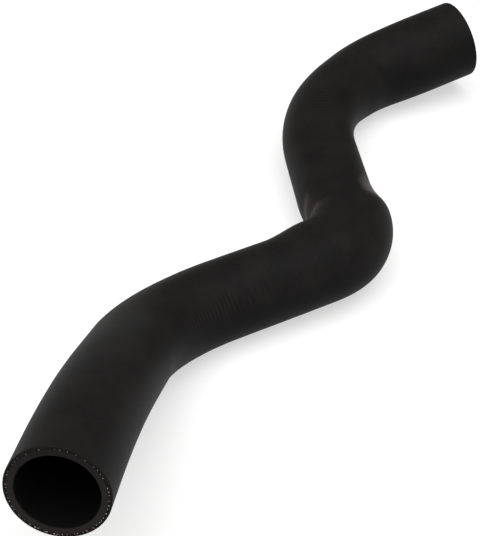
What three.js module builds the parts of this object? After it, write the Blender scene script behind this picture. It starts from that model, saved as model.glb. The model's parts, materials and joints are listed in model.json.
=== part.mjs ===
import * as THREE from 'three';
import { mergeVertices } from 'three/addons/utils/BufferGeometryUtils.js';

// Charge air hose in millimetres, +Z up, lying as it comes to rest on a flat surface.
// One moulded piece: a rubber bore and a rubber cover vulcanised together over textile reinforcement.
// It carries compressed air between two spigots and keeps the curved shape that it was cured in.

// Section of the hose
const boreDiameter = 45;
const wallThickness = 6;
const cutEdgeRound = 0.8;

// The wide cuff at the far end, and the cone that opens the hose up to it
const farBoreDiameter = 54;
const farCuffLength = 40;
const coneLength = 110;

// Straight stretches of the centreline, in order from the near end
const nearCuffStraight = 26.6;
const slopeStraight = 34.6;
const crossStraight = 74.9;
const returnStraight = 9.2;
const middleStraight = 52.4;
const outwardStraight = 12.7;
const farCuffStraight = 72.8;

// Radius of each bend of the centreline, in order between those stretches
const easingRadius = 500;
const slopeFootRadius = 99;
const elbowRadius = 46;
const counterBendRadius = 85;
const outwardRadius = 122;
const farCuffRadius = 66;

// Each leg's straight stretch, the way it heads, and the radius of the bend that leads on to the next leg.
// The bearing is seen from above, in degrees from +Y towards +X, and the climb is in degrees above level.
const legs = [
  { straight: nearCuffStraight, bearing: 7.8, climb: -12.6, bendRadius: easingRadius },
  { straight: slopeStraight, bearing: 9.8, climb: -23.6, bendRadius: slopeFootRadius },
  { straight: crossStraight, bearing: 63.3, climb: 2.2, bendRadius: elbowRadius },
  { straight: returnStraight, bearing: -19.2, climb: -4.6, bendRadius: counterBendRadius },
  { straight: middleStraight, bearing: -8.1, climb: 2.4, bendRadius: outwardRadius },
  { straight: outwardStraight, bearing: 37.9, climb: -2.1, bendRadius: farCuffRadius },
  { straight: farCuffStraight, bearing: 66.7, climb: 10.1 },
];

// How finely the curved surface is divided
const sidesRound = 32;
const degreesPerRing = 8;
const ringsInCone = 8;
const stepsInRound = 2;
const smallestGap = 1.5;
const weldDistance = 0.0001;

const rubberColour = 0x232020;
const rubberRoughness = 0.62;
const rubber = new THREE.MeshStandardMaterial({
  name: 'rubber',
  color: rubberColour,
  roughness: rubberRoughness,
  metalness: 0,
});

// The way a leg heads, as a unit vector
function headingOf({ bearing, climb }) {
  const swing = THREE.MathUtils.degToRad(bearing);
  const rise = THREE.MathUtils.degToRad(climb);
  const level = Math.cos(rise);
  return new THREE.Vector3(Math.sin(swing) * level, Math.cos(swing) * level, Math.sin(rise));
}

// The place and the turn of the section at a distance along one stretch, which is a straight or an arc
function sectionOn({ place, turn, arc }, along) {
  if (!arc) {
    const point = new THREE.Vector3(0, along, 0).applyQuaternion(turn).add(place);
    return { place: point, turn };
  }
  const turned = new THREE.Quaternion().setFromAxisAngle(arc.axis, along / arc.radius);
  const centre = place.clone().addScaledVector(arc.inward, arc.radius);
  const spoke = arc.inward.clone().multiplyScalar(-arc.radius).applyQuaternion(turned);
  return { place: centre.add(spoke), turn: turned.multiply(turn) };
}

// Straights and arcs in order along the hose, each starting where the one before it ends
function layCentreline() {
  const headings = legs.map(headingOf);
  const stretches = [];
  let place = new THREE.Vector3();
  let turn = new THREE.Quaternion().setFromUnitVectors(new THREE.Vector3(0, 1, 0), headings[0]);
  let travelled = 0;
  const lay = (length, arc) => {
    const stretch = { from: travelled, length, place, turn, arc };
    stretches.push(stretch);
    travelled += length;
    ({ place, turn } = sectionOn(stretch, length));
  };
  legs.forEach(({ straight, bendRadius }, i) => {
    lay(straight, null);
    if (bendRadius) {
      const angle = headings[i].angleTo(headings[i + 1]);
      const axis = headings[i].clone().cross(headings[i + 1]).normalize();
      const inward = axis.clone().cross(headings[i]);
      lay(bendRadius * angle, { axis, inward, angle, radius: bendRadius });
    }
  });
  return { stretches, length: travelled };
}

// The place and the turn of the section at a distance from the near end
function sectionAt({ stretches }, distance) {
  const stretch = stretches.findLast(({ from }) => from <= distance) ?? stretches[0];
  return sectionOn(stretch, distance - stretch.from);
}

// How far the bore is open at a distance from the near end: the cone swells and levels out smoothly
function boreRadiusAt(distance, length) {
  const coneStart = length - farCuffLength - coneLength;
  const share = THREE.MathUtils.smoothstep(distance, coneStart, coneStart + coneLength);
  return THREE.MathUtils.lerp(boreDiameter, farBoreDiameter, share) / 2;
}

// Distances at which the surface has a ring: the ends of each stretch, steps round each arc and down the cone
function ringDistances({ stretches, length }) {
  const wanted = [];
  for (const { from, length: reach, arc } of stretches) {
    const steps = arc ? Math.ceil(THREE.MathUtils.radToDeg(arc.angle) / degreesPerRing) : 1;
    for (let step = 0; step < steps; step += 1) {
      wanted.push(from + (reach * step) / steps);
    }
  }
  const coneStart = length - farCuffLength - coneLength;
  for (let step = 0; step <= ringsInCone; step += 1) {
    wanted.push(coneStart + (coneLength * step) / ringsInCone);
  }
  wanted.sort((a, b) => a - b);
  const firstRing = cutEdgeRound + smallestGap;
  const kept = [];
  for (const distance of wanted) {
    const clearOfEnds = distance > firstRing && distance < length - firstRing;
    if (clearOfEnds && distance - (kept.at(-1) ?? 0) >= smallestGap) {
      kept.push(distance);
    }
  }
  return kept;
}

// A quarter round between an end face and a wall, as points of the wall's section
function roundedEdge(edge, towardsWall, towardsRubber) {
  const points = [];
  for (let step = 0; step <= stepsInRound; step += 1) {
    const angle = (Math.PI / 2) * (step / stepsInRound);
    const across = edge.x + towardsRubber * cutEdgeRound * (1 - Math.sin(angle));
    const along = edge.y + towardsWall * cutEdgeRound * (1 - Math.cos(angle));
    points.push(new THREE.Vector2(across, along));
  }
  return points;
}

// The closed section of the straightened hose, which is then turned round its axis
function wallSection(centreline) {
  const { length } = centreline;
  const rings = ringDistances(centreline);
  const bore = (distance) => new THREE.Vector2(boreRadiusAt(distance, length), distance);
  const cover = (distance) => new THREE.Vector2(boreRadiusAt(distance, length) + wallThickness, distance);
  const section = [
    ...roundedEdge(cover(0), 1, -1),
    ...rings.map(cover),
    ...roundedEdge(cover(length), -1, -1).reverse(),
    ...roundedEdge(bore(length), -1, 1),
    ...rings.map(bore).reverse(),
    ...roundedEdge(bore(0), 1, 1).reverse(),
  ];
  section.push(section[0].clone());
  return section;
}

// The hose is turned straight from its section, then every point is carried to its place on the centreline
function bentHose() {
  const centreline = layCentreline();
  const geometry = new THREE.LatheGeometry(wallSection(centreline), sidesRound);
  const position = geometry.getAttribute('position');
  const vertex = new THREE.Vector3();
  for (let i = 0; i < position.count; i += 1) {
    vertex.fromBufferAttribute(position, i);
    const { place, turn } = sectionAt(centreline, vertex.y);
    vertex.y = 0;
    vertex.applyQuaternion(turn).add(place);
    position.setXYZ(i, vertex.x, vertex.y, vertex.z);
  }
  geometry.deleteAttribute('normal');
  geometry.deleteAttribute('uv');
  return mergeVertices(geometry, weldDistance);
}

const hoseGeometry = bentHose();
hoseGeometry.computeBoundingBox();
hoseGeometry.computeVertexNormals();

// The origin is on the surface that the hose lies on, under the middle of its box
const middle = hoseGeometry.boundingBox.getCenter(new THREE.Vector3());
const hose = new THREE.Mesh(hoseGeometry, rubber);
hose.name = 'charge_air_hose';
hose.position.set(-middle.x, -middle.y, -hoseGeometry.boundingBox.min.z);

const part = new THREE.Group();
part.add(hose);

export default part;
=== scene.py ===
import json
import math

import bpy
from mathutils import Matrix, Quaternion, Vector

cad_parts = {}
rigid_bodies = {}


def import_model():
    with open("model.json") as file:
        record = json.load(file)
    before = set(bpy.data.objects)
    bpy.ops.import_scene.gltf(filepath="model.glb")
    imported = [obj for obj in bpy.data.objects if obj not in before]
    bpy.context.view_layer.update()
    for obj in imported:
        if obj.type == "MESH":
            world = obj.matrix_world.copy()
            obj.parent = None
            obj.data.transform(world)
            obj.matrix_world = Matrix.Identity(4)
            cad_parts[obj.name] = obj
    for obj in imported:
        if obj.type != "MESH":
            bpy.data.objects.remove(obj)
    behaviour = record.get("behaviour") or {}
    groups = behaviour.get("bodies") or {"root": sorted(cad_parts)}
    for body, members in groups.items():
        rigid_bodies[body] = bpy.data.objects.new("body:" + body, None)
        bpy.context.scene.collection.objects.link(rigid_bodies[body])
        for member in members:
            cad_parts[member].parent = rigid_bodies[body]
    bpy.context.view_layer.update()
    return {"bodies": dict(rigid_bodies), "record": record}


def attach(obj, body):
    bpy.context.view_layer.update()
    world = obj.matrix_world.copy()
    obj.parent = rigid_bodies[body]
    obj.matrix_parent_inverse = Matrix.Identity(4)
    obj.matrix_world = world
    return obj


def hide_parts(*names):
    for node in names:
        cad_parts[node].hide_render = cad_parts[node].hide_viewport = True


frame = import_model()
(body,) = frame["bodies"]

# The camera: it stands in front of the near cuff and above it, and looks along the hose and down on it.
# Its place is in the hose's own frame, and its lens gives the picture the photograph's perspective.
camera_place = (-0.04185, -0.66852, 0.5745)
camera_down_degrees = 40.44
camera_lens_mm = 80.6
camera_sensor_mm = 36

camera_data = bpy.data.cameras.new("camera")
camera_data.lens = camera_lens_mm
camera_data.sensor_width = camera_sensor_mm
camera = bpy.data.objects.new("camera", camera_data)
camera.location = camera_place
camera.rotation_euler = (math.radians(90 - camera_down_degrees), 0, 0)
bpy.context.scene.collection.objects.link(camera)
bpy.context.scene.camera = camera


# The hose itself: a black rubber duct with a textile ply in its wall, moulded in one piece.
# It is built up on a curved mandrel and vulcanised there, so its bends and its flare are its own shape,
# and both ends are then cut square.
bore_diameter = 0.045
wall = 0.006
cut_edge_round = 0.0008
far_bore_diameter = 0.054
far_cuff_length = 0.040
cone_length = 0.110

# Each leg's straight stretch, its bearing from +Y towards +X, its climb, and the radius of the bend after it
legs = [
    (0.0266, 7.8, -12.6, 0.500),
    (0.0346, 9.8, -23.6, 0.099),
    (0.0749, 63.3, 2.2, 0.046),
    (0.0092, -19.2, -4.6, 0.085),
    (0.0524, -8.1, 2.4, 0.122),
    (0.0127, 37.9, -2.1, 0.066),
    (0.0728, 66.7, 10.1, None),
]
elbow_leg = 2
route_step = 0.001


def heading(bearing, climb):
    """The way a leg heads, as a unit vector."""
    swing = math.radians(bearing)
    rise = math.radians(climb)
    level = math.cos(rise)
    return Vector((math.sin(swing) * level, math.cos(swing) * level, math.sin(rise)))


def lay_route():
    """The centreline's points from the near end, its length, and its elbow's start, end and axis."""
    points = [Vector()]
    length = 0
    elbow = None
    for index, (straight, bearing, climb, radius) in enumerate(legs):
        ahead = heading(bearing, climb)
        start = points[-1]
        steps = math.ceil(straight / route_step)
        points += [start + ahead * straight * (step + 1) / steps for step in range(steps)]
        length += straight
        if radius:
            onward = heading(*legs[index + 1][1:3])
            angle = ahead.angle(onward)
            axis = ahead.cross(onward).normalized()
            inward = axis.cross(ahead)
            centre = points[-1] + inward * radius
            steps = math.ceil(radius * angle / route_step)
            for step in range(steps):
                turned = Quaternion(axis, angle * (step + 1) / steps)
                points.append(centre - turned @ inward * radius)
            if index == elbow_leg:
                elbow = length, length + radius * angle, axis
            length += radius * angle
    return points, length, elbow


route, hose_length, (elbow_start, elbow_end, elbow_axis) = lay_route()


def bore_radius(distance):
    """How far the bore is open at a distance from the near end."""
    cone_start = hose_length - far_cuff_length - cone_length
    share = min(max((distance - cone_start) / cone_length, 0), 1)
    swell = share * share * (3 - 2 * share)
    return (bore_diameter + (far_bore_diameter - bore_diameter) * swell) / 2


# How finely the surface is divided, and the shallow groove along the cut ply in both end faces
hose_sides = 128
cover_step = 0.00125
bore_step = 0.006
face_step = 0.0004
steps_in_round = 4
weld_distance = 0.00001
ply_depth = 0.0017
ply_groove = 0.00012
ply_spread = 0.0004


def end_section(distance, ahead):
    """The wall's section round an end, from cover to bore: radius, distance and depth under the cover."""
    inner = bore_radius(distance)
    section = []
    for step in range(steps_in_round + 1):
        angle = math.pi / 2 * step / steps_in_round
        depth = cut_edge_round * (1 - math.cos(angle))
        back = cut_edge_round * (1 - math.sin(angle))
        section.append((depth, back))
    steps = round((wall - 2 * cut_edge_round) / face_step)
    for step in range(1, steps):
        depth = cut_edge_round + (wall - 2 * cut_edge_round) * step / steps
        section.append((depth, ply_groove * math.exp(-(((depth - ply_depth) / ply_spread) ** 2))))
    section += [(wall - depth, back) for depth, back in reversed(section[: steps_in_round + 1])]
    return [(inner + wall - depth, distance - ahead * back, depth) for depth, back in section]


def wall_section():
    """The closed section of the hose if it were straight: radius, distance and depth under the cover."""
    first = cut_edge_round + route_step
    reach = hose_length - 2 * first
    cover_steps = round(reach / cover_step)
    cover = [first + reach * step / cover_steps for step in range(cover_steps + 1)]
    bore_steps = round(reach / bore_step)
    bore = [first + reach * step / bore_steps for step in range(bore_steps, -1, -1)]
    section = [(bore_radius(distance) + wall, distance, 0) for distance in cover]
    section += end_section(hose_length, 1)
    section += [(bore_radius(distance), distance, wall) for distance in bore]
    section += reversed(end_section(0, -1))
    return section + section[:1]


class Wire:
    """An output of a node. Operators on it add the Math nodes that work them out."""

    def __init__(self, tree, socket):
        self.tree = tree
        self.socket = socket

    @classmethod
    def node(cls, tree, kind, settings=None, sockets=None, output=0):
        """Adds a node, sets it up, gives its sockets values or wires, and returns one of its outputs."""
        added = tree.nodes.new(kind)
        for name, value in (settings or {}).items():
            setattr(added, name, value)
        for name, value in (sockets or {}).items():
            if isinstance(value, Wire):
                tree.links.new(value.socket, added.inputs[name])
            else:
                added.inputs[name].default_value = value
        return cls(tree, added.outputs[output] if added.outputs else None)

    def other(self, output):
        """Another output of the same node."""
        return Wire(self.tree, self.socket.node.outputs[output])

    def maths(self, operation, *terms):
        """A Math node on the terms, in the order given."""
        return Wire.node(self.tree, "ShaderNodeMath", {"operation": operation}, dict(enumerate(terms)))

    def vectors(self, operation, *terms, output=0):
        """A Vector Math node on the terms, in the order given."""
        settings = {"operation": operation}
        return Wire.node(self.tree, "ShaderNodeVectorMath", settings, dict(enumerate(terms)), output)

    def __add__(self, value):
        return self.maths("ADD", self, value)

    __radd__ = __add__

    def __sub__(self, value):
        return self.maths("SUBTRACT", self, value)

    def __rsub__(self, value):
        return self.maths("SUBTRACT", value, self)

    def __mul__(self, value):
        return self.maths("MULTIPLY", self, value)

    __rmul__ = __mul__

    def __truediv__(self, value):
        return self.maths("DIVIDE", self, value)

    def __lt__(self, value):
        return self.maths("LESS_THAN", self, value)

    def sine(self):
        """The sine of this angle."""
        return self.maths("SINE", self)

    def cosine(self):
        """The cosine of this angle."""
        return self.maths("COSINE", self)

    def bell(self, middle, spread):
        """1 at the middle, falling away to nothing over a few spreads."""
        off = (self - middle) / spread
        return self.maths("EXPONENT", off * off * -1)

    def ease(self, start, full):
        """0 as far as the start and 1 past full, with a smooth step between. Full may be below the start."""
        settings = {"interpolation_type": "SMOOTHSTEP"}
        return Wire.node(self.tree, "ShaderNodeMapRange", settings, {0: self, 1: start, 2: full})

    def scaled(self, factor):
        """This vector times a factor."""
        sockets = {0: self, "Scale": factor}
        return Wire.node(self.tree, "ShaderNodeVectorMath", {"operation": "SCALE"}, sockets)


def noise(tree, place, scale, detail, roughness=0.5):
    """Soft noise on a place, from 0 to 1, with so many blotches to the metre."""
    sockets = {"Vector": place, "Scale": scale, "Detail": detail, "Roughness": roughness}
    return Wire.node(tree, "ShaderNodeTexNoise", None, sockets)


def geometry_tree(name, inputs):
    """A geometry tree with named inputs, and those inputs as wires by name."""
    tree = bpy.data.node_groups.new(name, "GeometryNodeTree")
    tree.interface.new_socket("Mesh", in_out="OUTPUT", socket_type="NodeSocketGeometry")
    for label, kind in inputs.items():
        tree.interface.new_socket(label, in_out="INPUT", socket_type="NodeSocket" + kind)
    start = Wire.node(tree, "NodeGroupInput")
    return tree, {label: start.other(label) for label in inputs}


def close_tree(tree, mesh, material):
    """Ends a tree: the mesh is realised, smoothed over and gets its material."""
    whole = Wire.node(tree, "GeometryNodeRealizeInstances", None, {"Geometry": mesh})
    smooth = Wire.node(tree, "GeometryNodeSetShadeSmooth", None, {"Geometry": whole})
    coated = Wire.node(tree, "GeometryNodeSetMaterial", None, {"Geometry": smooth, "Material": material})
    Wire.node(tree, "NodeGroupOutput", None, {"Mesh": coated})


def stored(mesh, label, kind, domain, value):
    """The mesh with a value kept on it under a name, for its material."""
    settings = {"data_type": kind, "domain": domain}
    sockets = {"Geometry": mesh, "Name": label, "Value": value}
    return Wire.node(mesh.tree, "GeometryNodeStoreNamedAttribute", settings, sockets)


def grown(tree, name, values):
    """The piece that a tree makes from the values of its inputs, as a plain mesh at the origin."""
    maker = bpy.data.objects.new(name + "_maker", bpy.data.meshes.new(name + "_maker"))
    bpy.context.scene.collection.objects.link(maker)
    modifier = maker.modifiers.new("maker", "NODES")
    modifier.node_group = tree
    for item in tree.interface.items_tree:
        if item.name in values:
            modifier[item.identifier] = values[item.name]
    depsgraph = bpy.context.evaluated_depsgraph_get()
    made = maker.evaluated_get(depsgraph)
    mesh = bpy.data.meshes.new_from_object(made, preserve_all_data_layers=True, depsgraph=depsgraph)
    bpy.data.objects.remove(maker)
    mesh.name = name
    piece = bpy.data.objects.new(name, mesh)
    bpy.context.scene.collection.objects.link(piece)
    return piece


def guide(name, points, joined):
    """A helper that a tree reads: a curve through the points, or a mesh of the bare points."""
    if joined:
        data = bpy.data.curves.new(name, "CURVE")
        data.dimensions = "3D"
        spline = data.splines.new("POLY")
        spline.points.add(len(points) - 1)
        for spot, point in zip(spline.points, points):
            spot.co = (*point, 1)
    else:
        data = bpy.data.meshes.new(name)
        data.from_pydata(points, [], [])
    holder = bpy.data.objects.new(name, data)
    bpy.context.scene.collection.objects.link(holder)
    return holder


# The elbow isn't a clean bend. The rubber is bunched up on its inside, with two small folds where it
# straightens out, and its outside stands proud as a shoulder with a shallow dent beyond it.
# The cover is paler along the folds, partly bloom and partly painted highlight on their crests,
# and a painted highlight is put in a patch where the shoulder ends.
elbow_inputs = {
    "Elbow Start": elbow_start,
    "Elbow End": elbow_end,
    "Elbow Axis": elbow_axis,
    "Bunch Height": 0.0047,
    "Bunch Run In": 0.034,
    "Bunch Run Out": 0.030,
    "Fold Height": 0.00035,
    "Fold Width": 0.0022,
    "Bloom And Sheen Width": 0.0042,
    "Near Fold": -0.0015,
    "Far Fold": 0.0075,
    "Far Fold Lean": 0.014,
    "Crease Place": 0.003,
    "Crease Spread": 0.010,
    "Shoulder Height": 0.0012,
    "Shoulder Run In": 0.03,
    "Shoulder Place": -0.011,
    "Shoulder Step": 0.008,
    "Dent Depth": 0.0008,
    "Dent Place": 0.003,
    "Dent Spread": 0.008,
    "Patch Edge": -0.0236,
    "Patch Edge Slant": -0.032,
    "Patch End": -0.0170,
    "Patch End Slant": 0.06,
}

# Where each form sets in and where it is full, going round the hose
bunch_round = (-0.1, 0.9)
near_fold_round = (0.66, 0.86)
far_fold_round = (0.76, 0.92)
crease_round = (0.55, 0.9)
shoulder_round = (0.1, 0.6)
patch_round = (-0.32, -0.50)
patch_rise = (0.35, 0.85)

# The same going along it, the bunch's in run-ins and run-outs, and the patch's in metres
bunch_sets_in = (-1, 0.05)
bunch_fades = (0.1, -1)
patch_edge_soft = (-0.0005, 0.0025)
patch_fades = (0.002, -0.015)
patch_sets_in = (-0.0135, -0.0065)

# How pale the folds, the creases and the patch are made: the patch is a painted highlight, the folds partly
# one
fold_paleness = 0.75
crease_paleness = 0.10
patch_highlight = 1.1


def elbow_forms(given, distance, facing, rise):
    """How far the cover stands out round the elbow, and how pale it is along its folds, partly bloom and
    partly painted highlight, and in a painted highlight where the shoulder ends.

    Facing is 1 on the inside of the elbow and -1 on its outside, and rise is 1 on top of the hose.
    """
    from_start = distance - given["Elbow Start"]
    from_end = distance - given["Elbow End"]
    bunch = facing.ease(*bunch_round) * (from_start / given["Bunch Run In"]).ease(*bunch_sets_in)
    bunch = bunch * (from_end / given["Bunch Run Out"]).ease(*bunch_fades)

    on_near = facing.ease(*near_fold_round)
    on_far = facing.ease(*far_fold_round)
    past_near = from_end - given["Near Fold"]
    past_far = from_end - rise * given["Far Fold Lean"] - given["Far Fold"]
    # The pale band along the folds is partly bloom and partly painted highlight on their crests
    folds, fold_bloom_and_sheen = [
        past_near.bell(0, given[width]) * on_near + past_far.bell(0, given[width]) * on_far
        for width in ("Fold Width", "Bloom And Sheen Width")
    ]
    creased = from_end.bell(given["Crease Place"], given["Crease Spread"]) * facing.ease(*crease_round)

    outside = (facing * -1).ease(*shoulder_round)
    past_step = (from_end - given["Shoulder Place"]) / given["Shoulder Step"]
    shoulder = outside * from_start.ease(0, given["Shoulder Run In"]) * past_step.ease(1, 0)
    dent = outside * (from_end - given["Dent Place"]).bell(0, given["Dent Spread"])

    # The patch is a painted highlight, a pale sheen put into the colour where the shoulder ends
    past_edge = from_end + facing * given["Patch Edge Slant"] - given["Patch Edge"]
    past_fade = from_end + facing * given["Patch End Slant"] - given["Patch End"]
    patch = past_edge.ease(*patch_edge_soft) * past_fade.ease(*patch_fades) * facing.ease(*patch_round)
    patch = patch * rise.ease(*patch_rise) * from_end.ease(*patch_sets_in)

    out = bunch * given["Bunch Height"] + folds * given["Fold Height"]
    out = out + shoulder * given["Shoulder Height"] - dent * given["Dent Depth"]
    return out, fold_bloom_and_sheen * fold_paleness + creased * crease_paleness + patch * patch_highlight


# The cover's slow waves, as how many to the metre and how much detail
wave_noise = (22, 2)


def hose_tree():
    """Wraps a grid round the route: one way goes round the hose, the other along its closed section."""
    tree, given = geometry_tree(
        "moulded_hose",
        {
            "Route": "Object",
            "Section": "Object",
            "Stations": "Int",
            "Sides": "Int",
            "Wall": "Float",
            "Unevenness": "Float",
            "Floor": "Float",
            "Weld": "Float",
            "Rubber": "Material",
        }
        | {label: "Vector" if label == "Elbow Axis" else "Float" for label in elbow_inputs},
    )
    route_curve, section = [
        Wire.node(tree, "GeometryNodeObjectInfo", None, {"Object": given[label]}, "Geometry")
        for label in ("Route", "Section")
    ]
    lanes = given["Sides"] + 1
    grid = Wire.node(
        tree,
        "GeometryNodeMeshGrid",
        None,
        {"Size X": 1, "Size Y": 1, "Vertices X": given["Stations"], "Vertices Y": lanes},
    )
    index = Wire.node(tree, "GeometryNodeInputIndex")
    station = index.maths("FLOOR", index / lanes)
    side = index - station * lanes
    spot = Wire.node(
        tree,
        "GeometryNodeSampleIndex",
        {"data_type": "FLOAT_VECTOR"},
        {"Geometry": section, "Value": Wire.node(tree, "GeometryNodeInputPosition"), "Index": station},
    )
    radius = Wire.node(tree, "ShaderNodeSeparateXYZ", None, {0: spot})
    distance = radius.other("Y")
    depth = radius.other("Z")

    centre = Wire.node(
        tree,
        "GeometryNodeSampleCurve",
        {"mode": "LENGTH"},
        {"Curves": route_curve, "Length": distance},
        "Position",
    )
    up = centre.other("Normal")
    ahead = centre.other("Tangent")
    across = up.vectors("CROSS_PRODUCT", up, ahead)
    angle = side / given["Sides"] * math.tau
    outward = up.vectors("ADD", up.scaled(angle.cosine()), across.scaled(angle.sine()))

    inward = up.vectors("CROSS_PRODUCT", given["Elbow Axis"], ahead)
    facing = outward.vectors("DOT_PRODUCT", outward, inward, output="Value")
    rise = Wire.node(tree, "ShaderNodeSeparateXYZ", None, {0: outward}, "Z")
    out, worn = elbow_forms(given, distance, facing, rise)
    smooth_place = centre.vectors("ADD", centre, outward.scaled(radius))
    waves = noise(tree, smooth_place, *wave_noise) - 0.5
    on_cover = depth < given["Wall"] / 2
    raised = (out + waves * given["Unevenness"]) * on_cover
    place = centre.vectors("ADD", smooth_place, outward.scaled(raised))
    height = Wire.node(tree, "ShaderNodeSeparateXYZ", None, {0: place}, "Z")
    lift = height.maths("MAXIMUM", given["Floor"] - height, 0)
    lifted = place.vectors("ADD", place, Wire.node(tree, "ShaderNodeCombineXYZ", None, {"Z": lift}))
    shaped = Wire.node(tree, "GeometryNodeSetPosition", None, {"Geometry": grid, "Position": lifted})

    unrolled = Wire.node(tree, "ShaderNodeCombineXYZ", None, {"X": side / given["Sides"], "Y": distance})
    settings = {"data_type": "FLOAT_VECTOR", "domain": "POINT"}
    unrolled = Wire.node(tree, "GeometryNodeFieldOnDomain", settings, {0: unrolled})
    shaped = stored(shaped, "UVMap", "FLOAT2", "CORNER", unrolled)
    for label, value in (("depth", depth), ("worn", worn), ("rise", rise)):
        shaped = stored(shaped, label, "FLOAT", "POINT", value)
    sockets = {"Geometry": shaped, "Distance": given["Weld"]}
    close_tree(tree, Wire.node(tree, "GeometryNodeMergeByDistance", None, sockets), given["Rubber"])
    return tree


def new_material(name):
    """A material, its tree, and the surface's shader in that tree."""
    material = bpy.data.materials.new(name)
    material.use_nodes = True
    tree = material.node_tree
    return material, tree, tree.nodes["Principled BSDF"]


def join_up(tree, shader, **values):
    """Gives the shader's sockets values or wires."""
    for name, value in values.items():
        socket = shader.inputs[name.replace("_", " ")]
        if isinstance(value, Wire):
            tree.links.new(value.socket, socket)
        else:
            socket.default_value = value


def mixed(factor, low, high):
    """The colour low where the factor is 0 and high where it is 1."""
    # A Mix node's colours are its sockets 6 and 7 and its output 2
    settings = {"data_type": "RGBA"}
    return Wire.node(factor.tree, "ShaderNodeMix", settings, {0: factor, 6: low, 7: high}, 2)


def attribute(tree, name):
    """A value that the piece's tree stored on it."""
    return Wire.node(tree, "ShaderNodeAttribute", {"attribute_name": name}, output="Fac")


def bumped(tree, height):
    """The surface's normal with a height in metres pressed into it."""
    return Wire.node(tree, "ShaderNodeBump", None, {"Height": height, "Strength": 1.0, "Distance": 1.0})


# The colours of the cover, of the cut rubber in the end faces, and of the bore. The cover's underside and
# the top of the cut liner are darker as painted shade, the bore is partly painted shade, and the pale elbow
# rubber is partly bloom and partly painted highlight.
cover_dark = (0.0074, 0.0068, 0.0067, 1)
cover_light = (0.0112, 0.0100, 0.0096, 1)
cover_painted_shade = (0.0038, 0.0036, 0.0036, 1)
bloom_and_sheen_rubber = (0.0440, 0.0370, 0.0350, 1)
cover_cut = (0.0085, 0.0076, 0.0072, 1)
liner_cut = (0.0175, 0.0145, 0.0142, 1)
liner_painted_shade = (0.0105, 0.0095, 0.0095, 1)
ply_shadow = (0.0035, 0.0032, 0.0030, 1)
bore_rubber_and_shade = (0.0030, 0.0028, 0.0028, 1)

# The faint ribs run round the hose on a slant. They show most at the places given here, each as its
# distance along the hose, its spread, and its share of the way round.
rib_pitch = 0.0043
rib_turns = 3
rib_places = ((0.228, 0.045, 0.07), (0.520, 0.030, 0.22))
rib_reach = 0.055
faint_ribs = 0.06

# Each noise as blotches to the metre, detail and roughness
mottle_noise = (38, 6, 0.65)
fine_noise = (420, 3, 0.6)
grain_noise = (1400, 3, 0.65)
patchy_noise = (60, 2)

# Where one look sets in and where it is full, on depth, on a noise or on rise
skin_depths = (0.0001, 0.0006)
bore_depths = (wall - 0.0006, wall - 0.0001)
patchy_range = (0.36, 0.56)
mottle_range = (0.35, 0.68)
speckle_range = (0.4, 0.8)
painted_shade_rise = (-0.1, 0.6)
liner_shade_rise = (0.2, 0.8)

# How much each adds to the colour, to the bump in metres and to the roughness
fine_colour = 1.2
rib_painted_shading = 0.8
bloom_and_sheen_colour = (0.6, 0.5, 0.3)
ply_colour = 0.8
liner_shade_share = 0.8
speckle_colour = 0.3
rib_height = 0.00006
grain_height = 0.00005
cut_height = 0.00008
cover_roughness = 0.50
mottle_roughness = 0.12
fine_roughness = 0.06
cut_roughness = 0.15
bloom_and_sheen_polish = 0.12


def hose_rubber():
    """Matte black rubber: mottled cover with faint ribs, darker below as painted shade, and browner where it
    is cut.
    """
    material, tree, shader = new_material("hose_rubber")
    place = Wire.node(tree, "ShaderNodeTexCoord", output="Object")
    unrolled = Wire.node(tree, "ShaderNodeUVMap", {"uv_map": "UVMap"})
    around = Wire.node(tree, "ShaderNodeSeparateXYZ", None, {0: unrolled})
    along = around.other("Y")
    depth, worn, rise = [attribute(tree, name) for name in ("depth", "worn", "rise")]

    on_cover = 1 - depth.ease(*skin_depths)
    in_bore = depth.ease(*bore_depths)
    mottle = noise(tree, place, *mottle_noise)
    fine = noise(tree, place, *fine_noise)
    grain = noise(tree, place, *grain_noise)
    patchy = noise(tree, place, *patchy_noise).ease(*patchy_range)
    pressed = faint_ribs
    for middle, spread, side in rib_places:
        pressed = along.bell(middle, spread) * around.bell(side, rib_reach) + pressed
    ribs = ((along / rib_pitch + around * rib_turns) * math.tau).sine() * patchy * pressed * on_cover

    # The ribs also lighten and darken the colour in bands: a painted shading of their relief
    lightness = mottle.ease(*mottle_range) + (fine - 0.5) * fine_colour + ribs * rib_painted_shading
    cover = mixed(lightness, cover_dark, cover_light)
    # Painted shade: the cover is darker on its underside, where less light falls
    cover = mixed(rise.ease(*painted_shade_rise), cover_painted_shade, cover)
    evenly, by_mottle, by_fine = bloom_and_sheen_colour
    # Paler along the elbow's folds, partly bloom and partly painted highlight, and a painted highlight in
    # the patch past the shoulder
    cover = mixed(worn * (evenly + mottle * by_mottle + fine * by_fine), cover, bloom_and_sheen_rubber)
    # Painted shade: the cut liner is darker towards the top of each end face
    liner = mixed(rise.ease(*liner_shade_rise) * liner_shade_share, liner_cut, liner_painted_shade)
    cut = mixed(depth.ease(ply_depth, ply_depth + ply_spread), cover_cut, liner)
    ply = depth.bell(ply_depth, ply_spread) * ply_colour
    face = mixed(ply + fine.ease(*speckle_range) * speckle_colour, cut, ply_shadow)
    # The bore's colour is darker than the cut liner, partly the rubber's black and partly painted shade
    colour = mixed(in_bore, mixed(on_cover, face, cover), bore_rubber_and_shade)

    off_cover = 1 - on_cover
    height = ribs * rib_height + grain * grain_height + fine * off_cover * cut_height
    roughness = cover_roughness + mottle * mottle_roughness + fine * fine_roughness
    roughness = roughness + off_cover * cut_roughness - worn * bloom_and_sheen_polish
    normal = bumped(tree, height)
    join_up(tree, shader, Base_Color=colour, Roughness=roughness, Normal=normal, Specular_IOR_Level=0.07)
    return material


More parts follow.
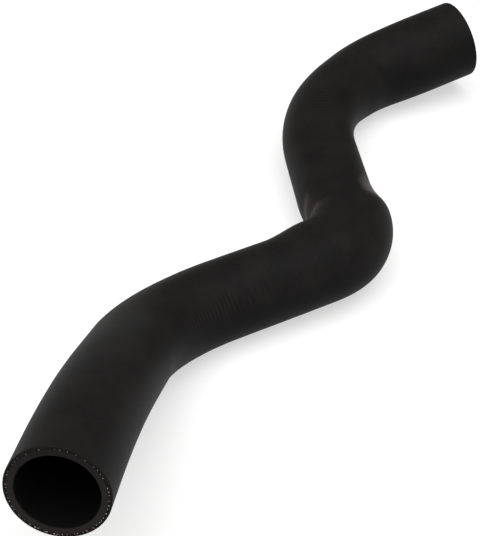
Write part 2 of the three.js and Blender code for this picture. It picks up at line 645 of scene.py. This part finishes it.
# The record's mount at the near mouth is a point halfway through the wall, level with the mouth's centre.
straight_up = Vector((0, 0, 1))
near_heading = heading(*legs[0][1:3])
far_heading = heading(*legs[-1][1:3])
mount_side = straight_up.cross(near_heading).normalized()
mount_place = Vector(frame["record"]["mounts"][0]["pos_m"])
near_mouth = mount_place - mount_side * (bore_diameter + wall) / 2
far_mouth = near_mouth + route[-1]

section_outline = wall_section()
hose_tools = [guide("route_guide", route, True), guide("section_guide", section_outline, False)]
hose = grown(
    hose_tree(),
    "hose",
    {
        "Route": hose_tools[0],
        "Section": hose_tools[1],
        "Stations": len(section_outline),
        "Sides": hose_sides,
        "Wall": wall,
        "Unevenness": 0.0004,
        "Floor": -near_mouth.z,
        "Weld": weld_distance,
        "Rubber": hose_rubber(),
    }
    | elbow_inputs,
)
for tool in hose_tools:
    bpy.data.objects.remove(tool)

hose.data.transform(Matrix.Translation(near_mouth))
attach(hose, body)
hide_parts("charge_air_hose")


# The yarn ends: where the hose is cut, the pale yarns of the textile ply show as a ring of dots.
# Each is the end of a two-strand yarn, cut flush with the face and a little frayed, and some are lost.
# The same yarns run from end to end, so the ring at the wide far mouth has as many, further apart.
yarn_count = 62
yarn_width = 0.00036
yarn_sunk = 0.00017
yarn_scatter = 0.00016
yarn_flatness = 0.6
yarn_dark = (0.030, 0.027, 0.024, 1)
yarn_pale = (0.640, 0.610, 0.545, 1)

# The second strand lies beside the first, at a place in yarn widths, and is smaller
second_strand_place = (1.2, 0.5)
second_strand_scale = (0.75, 0.8, 0.9)

# What each end is drawn from: its place along the ring in steps and across it in scatters,
# its turn in radians, its stretch both ways, and its shade
along_ring = (-0.36, 0.36)
across_ring = (-1, 1)
yarn_turn = (-0.9, 0.9)
yarn_length = (0.50, 1.20)
yarn_breadth = (0.42, 0.85)
yarn_shade = (0.25, 1)

# Towards the top of the face more ends are lost, and the rest are smaller and darker
top_range = (-0.1, 0.7)
top_shrink = 0.25
top_darkening = 0.5
lost_share = 0.10
lost_on_top = 0.45


def yarn_tree():
    """Sets two-lobed yarn ends round a ring, unevenly."""
    tree, given = geometry_tree(
        "cut_yarns",
        {
            "Count": "Int",
            "Ring Radius": "Float",
            "Scatter": "Float",
            "Yarn Width": "Float",
            "Lost Share": "Float",
            "Lost On Top": "Float",
            "Top": "Float",
            "Seed": "Int",
            "Yarn": "Material",
        },
    )

    def chance(low, high, draw):
        """A random number between low and high for each yarn end."""
        # A Random Value node's numbers are its sockets 2 and 3 and its output 1
        sockets = {2: low, 3: high, "Seed": given["Seed"] + draw}
        return Wire.node(tree, "FunctionNodeRandomValue", None, sockets, 1)

    index = Wire.node(tree, "GeometryNodeInputIndex")
    angle = (index + chance(*along_ring, 0)) / given["Count"] * math.tau
    on_top = (angle - given["Top"]).cosine().ease(*top_range)
    reach = given["Ring Radius"] + chance(*across_ring, 1) * given["Scatter"]
    sockets = {"X": angle.cosine() * reach, "Y": angle.sine() * reach}
    place = Wire.node(tree, "ShaderNodeCombineXYZ", None, sockets)
    ring = Wire.node(tree, "GeometryNodePoints", None, {"Count": given["Count"], "Position": place})

    sockets = {"Segments": 8, "Rings": 5, "Radius": given["Yarn Width"]}
    strand = Wire.node(tree, "GeometryNodeMeshUVSphere", None, sockets)
    sockets = {axis: given["Yarn Width"] * share for axis, share in zip("XY", second_strand_place)}
    beside = Wire.node(tree, "ShaderNodeCombineXYZ", None, sockets)
    sockets = {"Geometry": strand, "Translation": beside, "Scale": second_strand_scale}
    second = Wire.node(tree, "GeometryNodeTransform", None, sockets)
    yarn = Wire.node(tree, "GeometryNodeJoinGeometry", None, {"Geometry": strand})
    tree.links.new(second.socket, yarn.socket.node.inputs["Geometry"])

    lean = Wire.node(tree, "ShaderNodeCombineXYZ", None, {"Z": angle + math.pi / 2 + chance(*yarn_turn, 2)})
    size = 1 - on_top * top_shrink
    sockets = {"X": chance(*yarn_length, 3) * size, "Y": chance(*yarn_breadth, 4) * size, "Z": yarn_flatness}
    stretch = Wire.node(tree, "ShaderNodeCombineXYZ", None, sockets)
    sockets = {
        "Points": ring,
        "Selection": given["Lost Share"] + on_top * given["Lost On Top"] < chance(0, 1, 5),
        "Instance": yarn,
        "Rotation": lean,
        "Scale": stretch,
    }
    ends = Wire.node(tree, "GeometryNodeInstanceOnPoints", None, sockets)
    shade = chance(*yarn_shade, 6) * (1 - on_top * top_darkening)
    close_tree(tree, stored(ends, "shade", "FLOAT", "INSTANCE", shade), given["Yarn"])
    return tree


fibre_noise = (3000, 2, 0.6)
fibre_range = (0.35, 0.65)
fibre_colour = 0.25
fibre_height = 0.0001


def yarn_cotton():
    """Off-white yarn, each end at its own shade, darker towards the top of the face."""
    material, tree, shader = new_material("yarn_ends")
    place = Wire.node(tree, "ShaderNodeTexCoord", output="Object")
    fibres = noise(tree, place, *fibre_noise)
    paleness = attribute(tree, "shade") * (1 - fibre_colour) + fibres.ease(*fibre_range) * fibre_colour
    colour = mixed(paleness, yarn_dark, yarn_pale)
    normal = bumped(tree, fibres * fibre_height)
    join_up(tree, shader, Base_Color=colour, Roughness=0.85, Normal=normal, Specular_IOR_Level=0.2)
    return material


cotton = yarn_cotton()
cut_yarns = yarn_tree()
for name, mouth, ahead, bore, seed in (
    ("yarn_ends_near", near_mouth, -near_heading, bore_diameter, 11),
    ("yarn_ends_far", far_mouth, far_heading, far_bore_diameter, 47),
):
    turn = straight_up.rotation_difference(ahead).to_matrix().to_4x4()
    up_on_face = turn.inverted() @ straight_up
    yarn_ends = grown(
        cut_yarns,
        name,
        {
            "Count": yarn_count,
            "Ring Radius": bore / 2 + wall - ply_depth,
            "Scatter": yarn_scatter,
            "Yarn Width": yarn_width,
            "Lost Share": lost_share,
            "Lost On Top": lost_on_top,
            "Top": math.atan2(up_on_face.y, up_on_face.x),
            "Seed": seed,
            "Yarn": cotton,
        },
    )
    yarn_ends.data.transform(Matrix.Translation(mouth - ahead * yarn_sunk) @ turn)
    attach(yarn_ends, body)


# The floor: a plain pale sheet that the hose lies on, reaching far past it on all sides.
# It is stage only. It glows faintly, so that it is white and the hose's shadow on it stays light.
floor_half_width = 6
floor_white = (0.50, 0.50, 0.50, 1)
floor_glow = (1, 1, 1, 1)
floor_glow_strength = 0.56
floor_signs = ((-1, -1), (1, -1), (1, 1), (-1, 1))
floor_corners = [(x * floor_half_width, y * floor_half_width, 0) for x, y in floor_signs]
floor_mesh = bpy.data.meshes.new("floor")
floor_mesh.from_pydata(floor_corners, [], [(0, 1, 2, 3)])
floor = bpy.data.objects.new("floor", floor_mesh)
bpy.context.scene.collection.objects.link(floor)
floor_material, floor_tree, floor_shader = new_material("floor_white")
join_up(
    floor_tree,
    floor_shader,
    Base_Color=floor_white,
    Roughness=0.9,
    Specular_IOR_Level=0.0,
    Emission_Color=floor_glow,
    Emission_Strength=floor_glow_strength,
)
floor_mesh.materials.append(floor_material)


# The light: an even, faintly warm white surround, and two large soft lamps over the hose.
# Each lamp has a name, a place, a width in metres and a power in watts, and is aimed at the origin.
surround_colour = (1.0, 0.985, 0.965, 1)
surround_strength = 0.28
lamps = (
    ("key_lamp", (-0.1, -0.6, 2.5), 2.8, 80),
    ("fill_lamp", (1.1, -0.6, 1.4), 1.6, 3),
)
world = bpy.data.worlds.new("surround")
world.use_nodes = True
background = world.node_tree.nodes["Background"]
background.inputs["Color"].default_value = surround_colour
background.inputs["Strength"].default_value = surround_strength
bpy.context.scene.world = world
bpy.context.scene.view_settings.view_transform = "Standard"
for name, place, width, power in lamps:
    lamp_data = bpy.data.lights.new(name, "AREA")
    lamp_data.size = width
    lamp_data.energy = power
    lamp = bpy.data.objects.new(name, lamp_data)
    lamp.location = place
    lamp.rotation_euler = (-Vector(place)).to_track_quat("-Z", "Y").to_euler()
    bpy.context.scene.collection.objects.link(lamp)
